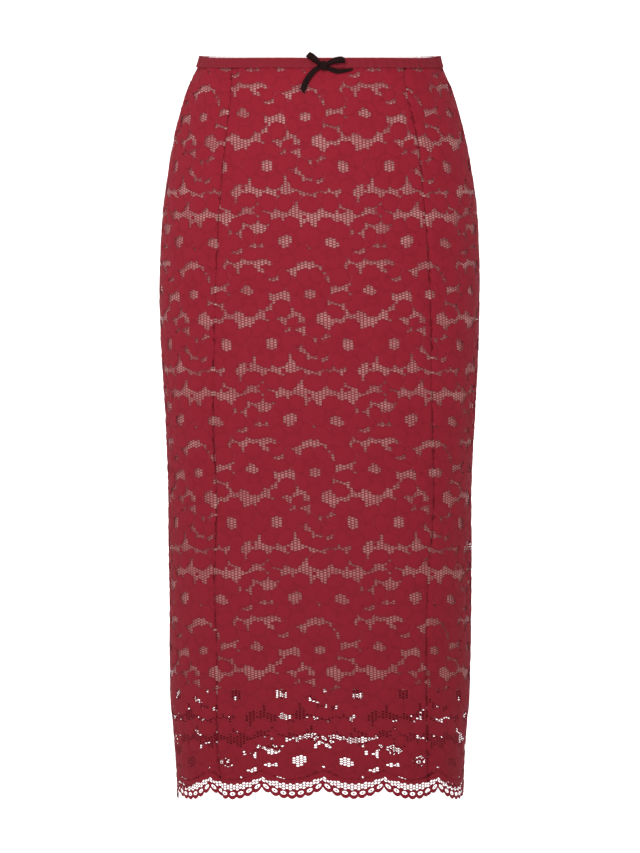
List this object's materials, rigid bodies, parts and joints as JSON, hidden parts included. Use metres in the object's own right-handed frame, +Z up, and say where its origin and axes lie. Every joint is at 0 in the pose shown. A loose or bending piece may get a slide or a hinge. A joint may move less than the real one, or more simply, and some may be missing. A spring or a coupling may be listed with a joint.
{
  "type": "lace pencil skirt",
  "caption": "Hollow midi pencil skirt of floral stretch lace over a shorter slip lining, with a picot-edged elastic waist, a velvet bow and a scalloped hem.",
  "frame": {"origin": "the middle of the waist opening, at half the height of the waist elastic beside the side seams, where the wearer holds the skirt up", "axes": "+Z up towards the waist, the hem down -Z, the front facing -Y, +X towards the wearer's left"},
  "size_m": [0.34, 0.2347, 0.7933],
  "materials": {
    "lace": "soft matte stretch lace",
    "waist_elastic": "matte woven elastic with a picot edge",
    "lining": "lustrous knitted lining",
    "velvet": "velvet ribbon"
  },
  "bodies": {
    "root": {"waist_elastic": "waist_elastic", "front_centre_panel": "lace", "front_side_panel_right": "lace", "front_side_panel_left": "lace", "back_panel": "lace", "lining_front": "lining", "lining_back": "lining", "bow_knot": "velvet", "bow_loop_right": "velvet", "bow_loop_left": "velvet", "bow_tail_right": "velvet", "bow_tail_left": "velvet"}
  },
  "joints": []
}
